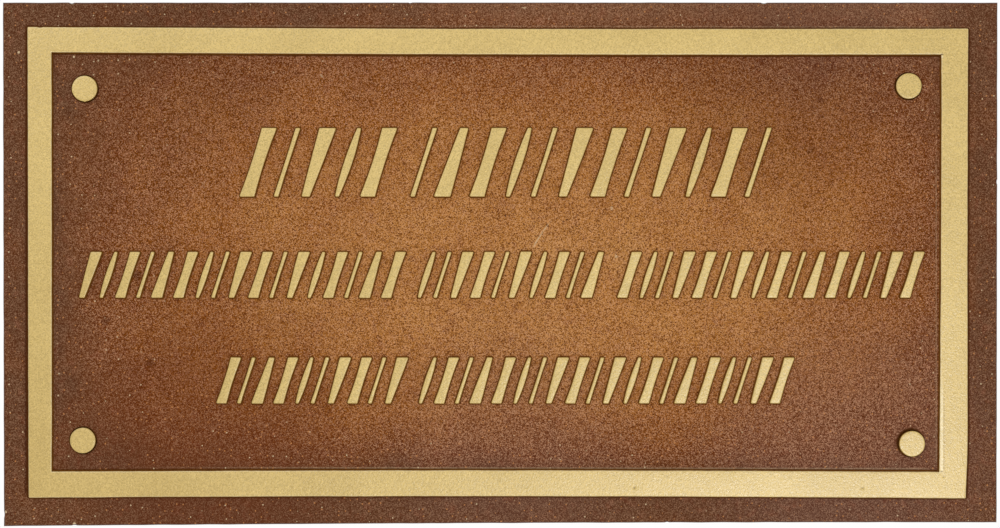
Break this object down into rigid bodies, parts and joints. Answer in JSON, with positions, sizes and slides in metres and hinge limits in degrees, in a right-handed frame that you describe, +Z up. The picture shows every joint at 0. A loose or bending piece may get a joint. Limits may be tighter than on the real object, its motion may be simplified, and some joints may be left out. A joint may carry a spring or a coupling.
{
  "type": "dedication plaque",
  "caption": "Flat rectangular wall plaque with a raised border band, rows of raised strokes in place of an inscription, and round screw covers near its corners.",
  "frame": {"origin": "centre of the plate's flat back, where it lies on the wall", "axes": "+X to the right of someone who stands before the plaque, +Y into the wall, +Z up; the front faces -Y"},
  "size_m": [0.381, 0.0083, 0.2007],
  "materials": {
    "plate": "cast resin, sprayed speckled brown with satin gold on the raised faces",
    "screw_cover": "satin gold paint"
  },
  "bodies": {
    "root": {"plate": "plate", "screw_cover_top_left": "screw_cover", "screw_cover_top_right": "screw_cover", "screw_cover_bottom_left": "screw_cover", "screw_cover_bottom_right": "screw_cover"}
  },
  "joints": []
}
